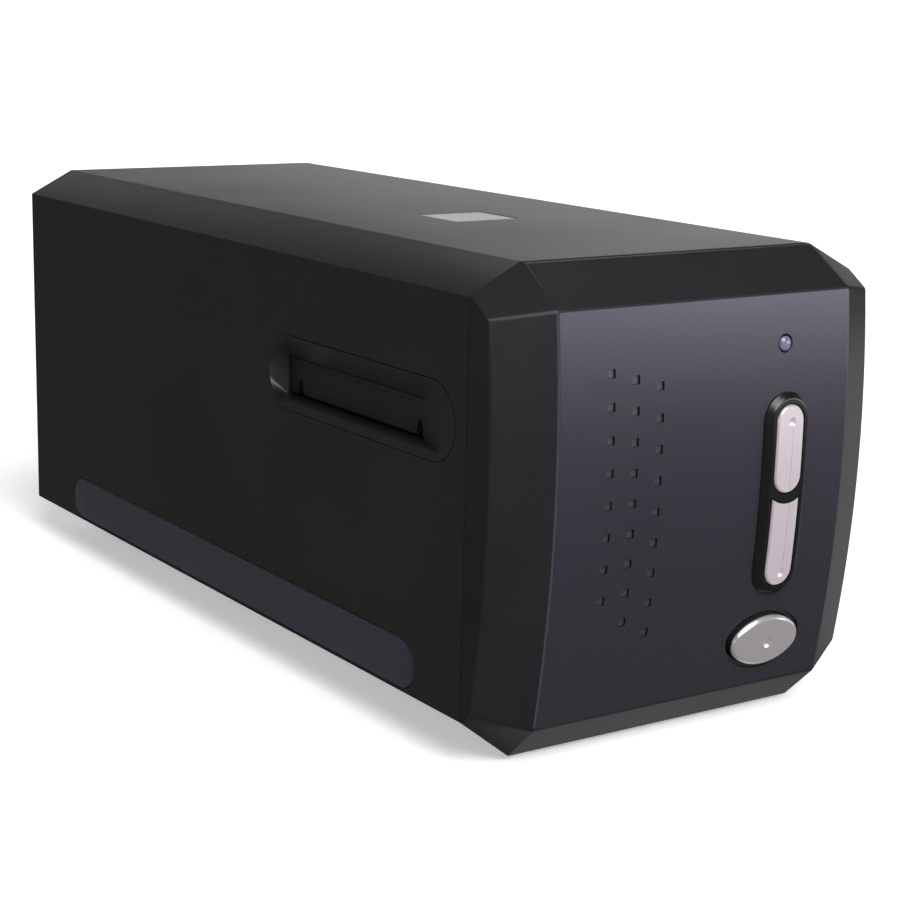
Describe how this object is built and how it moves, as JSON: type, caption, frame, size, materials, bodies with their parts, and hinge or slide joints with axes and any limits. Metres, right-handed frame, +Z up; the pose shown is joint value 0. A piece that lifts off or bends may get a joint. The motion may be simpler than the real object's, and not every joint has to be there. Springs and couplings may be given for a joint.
{
  "type": "film negative scanner",
  "caption": "Desktop scanner for film negatives and slides: a long chamfered box with a curved front, push buttons and a dust-flapped slot through both sides.",
  "frame": {"origin": "on the table, under the middle of the body", "axes": "+Z up, -Y towards the user (curved front), +X to the object's right"},
  "size_m": [0.116, 0.272, 0.12],
  "materials": {
    "housing": "fine spark texture",
    "base": "fine texture",
    "rear_panel": "fine texture",
    "bezel": "satin",
    "collar": "gloss",
    "button": "silver lacquer",
    "lens": "clear",
    "badge": "satin",
    "strip": "satin",
    "slot_frame": "satin",
    "flap": "satin",
    "spring": "drawn wire",
    "guide": "black",
    "pom": "satin",
    "sheet_steel": "zinc plated",
    "rod_steel": "ground",
    "carriage": "black",
    "bronze": "sintered",
    "lamp_body": "white",
    "lamp_glass": "phosphor coated",
    "mirror": "front silvered",
    "lens_black": "black anodised",
    "optic": "coated",
    "board": "solder mask",
    "motor": "drawn can",
    "gear": "acetal",
    "pinion": "turned",
    "belt": "black",
    "socket_metal": "tin plated",
    "jack": "black",
    "sensor": "black",
    "cable": "ribbon",
    "foot": "soft rubber",
    "screw": "zinc plated"
  },
  "bodies": {
    "body": {"housing": "housing", "base": "base", "rear_panel": "rear_panel", "front_bezel": "bezel", "button_collar": "collar", "status_lens": "lens", "top_badge": "badge", "side_strip_left": "strip", "side_strip_right": "strip", "slot_frame_left": "slot_frame", "slot_frame_right": "slot_frame", "flap_spring_left": "spring", "flap_spring_right": "spring", "film_guide": "guide", "detent_spring": "spring", "chassis": "sheet_steel", "guide_rods": "rod_steel", "stepper_motor": "motor", "drive_belt": "belt", "idler_bracket": "sheet_steel", "tension_spring": "spring", "home_sensor": "sensor", "main_board": "board", "usb_socket": "socket_metal", "dc_jack": "jack", "switch_board": "board", "board_screws": "screw", "flat_cable": "cable", "feet": "foot", "base_screws": "screw", "rear_screws": "screw"},
    "scan_key_upper": {"scan_button_upper": "button", "switch_plunger_upper": "jack"},
    "scan_key_lower": {"scan_button_lower": "button", "switch_plunger_lower": "jack"},
    "power_key": {"power_button": "button", "switch_plunger_power": "jack"},
    "flap_left": {"dust_flap_left": "flap"},
    "flap_right": {"dust_flap_right": "flap"},
    "detent": {"detent_plunger": "pom"},
    "scan_carriage": {"carriage": "carriage", "carriage_bushes": "bronze", "lamp_holder": "lamp_body", "lamp_tube": "lamp_glass", "fold_mirror": "mirror", "lens_barrel": "lens_black", "lens_elements": "optic", "sensor_board": "board"},
    "pinion": {"motor_pinion": "pinion"},
    "gear": {"reduction_gear": "gear"},
    "idler": {"idler_pulley": "gear"}
  },
  "joints": [
    {"name": "scan_key_upper_press", "type": "slide", "parent": "body", "child": "scan_key_upper", "axis": [0, 1, 0], "range_m": [0, 0.0008], "stiffness_N_per_m": 1200, "springref_m": -0.0006},
    {"name": "scan_key_lower_press", "type": "slide", "parent": "body", "child": "scan_key_lower", "axis": [0, 1, 0], "range_m": [0, 0.0008], "stiffness_N_per_m": 1200, "springref_m": -0.0006},
    {"name": "power_key_press", "type": "slide", "parent": "body", "child": "power_key", "axis": [0, 1, 0], "range_m": [0, 0.001], "stiffness_N_per_m": 1200, "springref_m": -0.0006},
    {"name": "flap_left_swing", "type": "hinge", "parent": "body", "child": "flap_left", "pos_m": [-0.0525, -0.06055, 0.0842], "axis": [0, 1, 0], "range_deg": [-80, 80], "stiffness_Nm_per_rad": 0.0012, "deforming": ["flap_spring_left"]},
    {"name": "flap_right_swing", "type": "hinge", "parent": "body", "child": "flap_right", "pos_m": [0.0525, -0.06055, 0.0842], "axis": [0, 1, 0], "range_deg": [-80, 80], "stiffness_Nm_per_rad": 0.0012, "deforming": ["flap_spring_right"]},
    {"name": "detent_push", "type": "slide", "parent": "body", "child": "detent", "axis": [0, 1, 0], "range_m": [0, 0.0009], "stiffness_N_per_m": 600, "springref_m": -0.001, "deforming": ["detent_spring"]},
    {"name": "carriage_travel", "type": "slide", "parent": "body", "child": "scan_carriage", "axis": [0, -1, 0], "range_m": [0, 0.032], "deforming": ["flat_cable"]},
    {"name": "gear_spin", "type": "hinge", "parent": "body", "child": "gear", "pos_m": [0.038, 0.058, 0.04], "axis": [0, 0, 1], "range_deg": [0, 299]},
    {"name": "idler_spin", "type": "hinge", "parent": "body", "child": "idler", "pos_m": [0.038, -0.092, 0.046], "axis": [0, 0, 1], "range_deg": [0, 299]},
    {"name": "pinion_spin", "type": "hinge", "parent": "body", "child": "pinion", "pos_m": [0.038, 0.0748, 0.04], "axis": [0, 0, 1], "range_deg": [-900, 0]}
  ],
  "couplings": [
    {"joint": "gear_spin", "follows": "carriage_travel", "rad_per_m": 162.6},
    {"joint": "idler_spin", "follows": "carriage_travel", "rad_per_m": 162.6},
    {"joint": "pinion_spin", "follows": "carriage_travel", "rad_per_m": -487.8}
  ]
}
